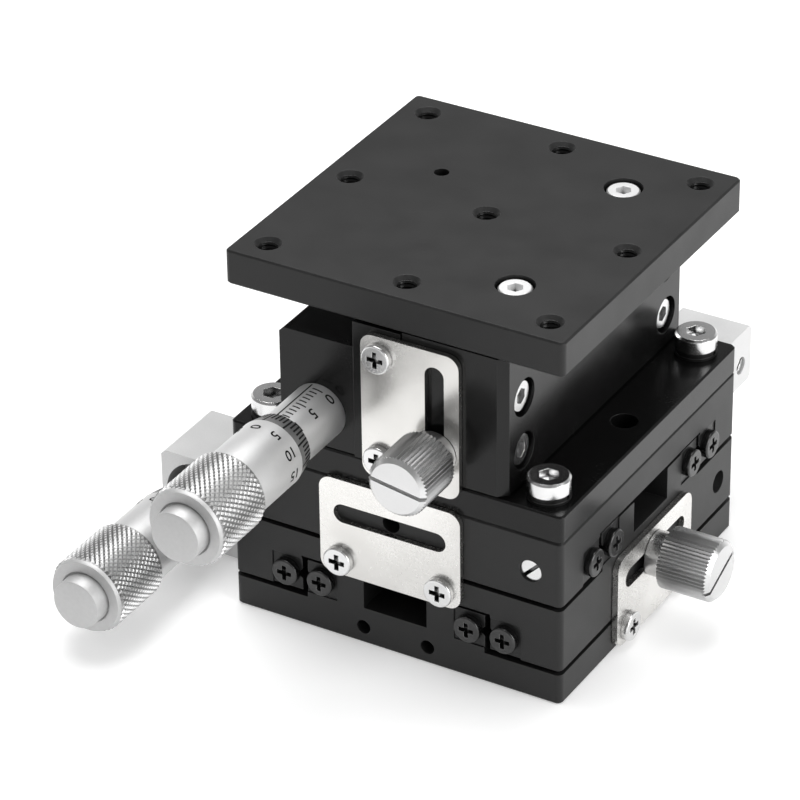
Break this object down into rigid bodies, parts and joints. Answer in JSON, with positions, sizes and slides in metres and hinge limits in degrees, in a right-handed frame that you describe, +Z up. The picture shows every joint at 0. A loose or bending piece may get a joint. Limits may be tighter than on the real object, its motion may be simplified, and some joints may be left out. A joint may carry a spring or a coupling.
{
  "type": "translation stage",
  "caption": "Manual translation stage: crossed-roller slides and a wedge-lifted table, each moved by a micrometer head, with lock plates and knurled lock knobs.",
  "frame": {"origin": "centre of the base plate's underside", "axes": "+Z up through the table, +X right along the front faces, +Y to the back; the lower slide moves along Y, the second along X, the table along Z"},
  "size_m": [0.0997, 0.1223, 0.066],
  "materials": {
    "black_plate": "matte black anodised",
    "silver_block": "matte clear anodised",
    "lock_plate_steel": "bright brushed",
    "plated_screw": "bright plated",
    "black_screw": "black oxide",
    "black_rail": "black oxide",
    "ground_steel": "ground",
    "roller_cage": "bare",
    "head_chrome": "satin chrome",
    "knob_steel": "turned"
  },
  "bodies": {
    "base": {"base_plate": "black_plate", "y_inner_rails": "black_rail", "y_inner_end_screws": "black_screw", "y_lock_plate": "lock_plate_steel", "y_lock_plate_screws": "plated_screw", "y_micrometer_holder": "silver_block", "y_holder_screws": "plated_screw", "y_micrometer_barrel": "head_chrome"},
    "y_cages": {"y_roller_cages": "roller_cage"},
    "y_carriage": {"middle_plate": "black_plate", "y_outer_rails": "black_rail", "y_outer_end_screws": "black_screw", "y_preload_screw": "plated_screw", "y_thrust_block": "silver_block", "y_thrust_screws": "plated_screw", "y_thrust_pin": "ground_steel", "x_inner_rails": "black_rail", "x_inner_end_screws": "black_screw", "x_lock_plate": "lock_plate_steel", "x_lock_plate_screws": "plated_screw", "x_micrometer_holder": "silver_block", "x_holder_screws": "plated_screw", "x_micrometer_barrel": "head_chrome"},
    "y_knob": {"y_lock_knob": "knob_steel"},
    "y_spindle_body": {"y_spindle": "ground_steel"},
    "y_thimble_body": {"y_thimble": "head_chrome"},
    "x_cages": {"x_roller_cages": "roller_cage"},
    "x_carriage": {"upper_plate": "black_plate", "x_outer_rails": "black_rail", "x_outer_end_screws": "black_screw", "x_preload_screw": "plated_screw", "x_thrust_block": "silver_block", "x_thrust_screws": "plated_screw", "x_thrust_pin": "ground_steel", "z_base_plate": "black_plate", "z_corner_screws": "plated_screw", "z_corner_washers": "plated_screw", "z_guide_block": "black_plate", "z_guide_screws": "plated_screw", "z_fixed_rails": "black_rail", "z_lock_plate": "lock_plate_steel", "z_lock_plate_screws": "plated_screw", "z_micrometer_holder": "black_plate", "z_holder_screws": "plated_screw", "z_micrometer_barrel": "head_chrome"},
    "x_spindle_body": {"x_spindle": "ground_steel"},
    "x_thimble_body": {"x_thimble": "head_chrome"},
    "z_cages": {"z_roller_cages": "roller_cage"},
    "z_table": {"table_plate": "black_plate", "table_screws": "plated_screw", "z_lift_block": "black_plate", "z_lift_rail_screws": "plated_screw", "z_moving_rails": "black_rail", "z_ramp": "ground_steel", "z_ramp_screws": "plated_screw"},
    "z_wedge_body": {"z_wedge": "ground_steel"},
    "z_spindle_body": {"z_spindle": "ground_steel"},
    "z_thimble_body": {"z_thimble": "head_chrome"},
    "z_knob": {"z_lock_knob": "knob_steel"}
  },
  "joints": [
    {"name": "y_slide", "type": "slide", "parent": "base", "child": "y_carriage", "axis": [0, 1, 0], "range_m": [-0.0065, 0.0065]},
    {"name": "y_cage_slide", "type": "slide", "parent": "base", "child": "y_cages", "axis": [0, 1, 0], "range_m": [-0.00325, 0.00325]},
    {"name": "y_spindle_feed", "type": "slide", "parent": "base", "child": "y_spindle_body", "axis": [0, 1, 0], "range_m": [-0.0065, 0.0065]},
    {"name": "y_thimble_turn", "type": "hinge", "parent": "y_spindle_body", "child": "y_thimble_body", "pos_m": [-0.0433, -0.035, 0.0105], "axis": [0, 1, 0], "range_deg": [-4680, 4680]},
    {"name": "y_lock_turn", "type": "hinge", "parent": "y_carriage", "child": "y_knob", "pos_m": [0.036, -0.0005, 0.0124], "axis": [1, 0, 0], "range_deg": [0, 90]},
    {"name": "x_slide", "type": "slide", "parent": "y_carriage", "child": "x_carriage", "axis": [1, 0, 0], "range_m": [-0.0065, 0.0065]},
    {"name": "x_cage_slide", "type": "slide", "parent": "y_carriage", "child": "x_cages", "axis": [1, 0, 0], "range_m": [-0.00325, 0.00325]},
    {"name": "x_spindle_feed", "type": "slide", "parent": "y_carriage", "child": "x_spindle_body", "axis": [1, 0, 0], "range_m": [-0.0065, 0.0065]},
    {"name": "x_thimble_turn", "type": "hinge", "parent": "x_spindle_body", "child": "x_thimble_body", "pos_m": [-0.035, 0.0433, 0.0225], "axis": [1, 0, 0], "range_deg": [-4680, 4680]},
    {"name": "z_lift", "type": "slide", "parent": "x_carriage", "child": "z_table", "axis": [0, 0, 1], "range_m": [0, 0.0065]},
    {"name": "z_cage_slide", "type": "slide", "parent": "x_carriage", "child": "z_cages", "axis": [0, 0, 1], "range_m": [0, 0.00325]},
    {"name": "z_wedge_slide", "type": "slide", "parent": "x_carriage", "child": "z_wedge_body", "axis": [0, 1, 0], "range_m": [0, 0.0065]},
    {"name": "z_spindle_feed", "type": "slide", "parent": "x_carriage", "child": "z_spindle_body", "axis": [0, 1, 0], "range_m": [0, 0.0065]},
    {"name": "z_thimble_turn", "type": "hinge", "parent": "z_spindle_body", "child": "z_thimble_body", "pos_m": [-0.0133, -0.055, 0.0416], "axis": [0, 1, 0], "range_deg": [0, 4680]},
    {"name": "z_lock_turn", "type": "hinge", "parent": "z_table", "child": "z_knob", "pos_m": [0.0082, -0.036, 0.041], "axis": [0, -1, 0], "range_deg": [0, 90]}
  ],
  "couplings": [
    {"joint": "y_cage_slide", "follows": "y_slide", "ratio": 0.5},
    {"joint": "y_spindle_feed", "follows": "y_slide", "ratio": 1},
    {"joint": "y_thimble_turn", "follows": "y_slide", "rad_per_m": 12566},
    {"joint": "x_cage_slide", "follows": "x_slide", "ratio": 0.5},
    {"joint": "x_spindle_feed", "follows": "x_slide", "ratio": 1},
    {"joint": "x_thimble_turn", "follows": "x_slide", "rad_per_m": 12566},
    {"joint": "z_cage_slide", "follows": "z_lift", "ratio": 0.5},
    {"joint": "z_wedge_slide", "follows": "z_lift", "ratio": 1},
    {"joint": "z_spindle_feed", "follows": "z_lift", "ratio": 1},
    {"joint": "z_thimble_turn", "follows": "z_lift", "rad_per_m": 12566}
  ]
}
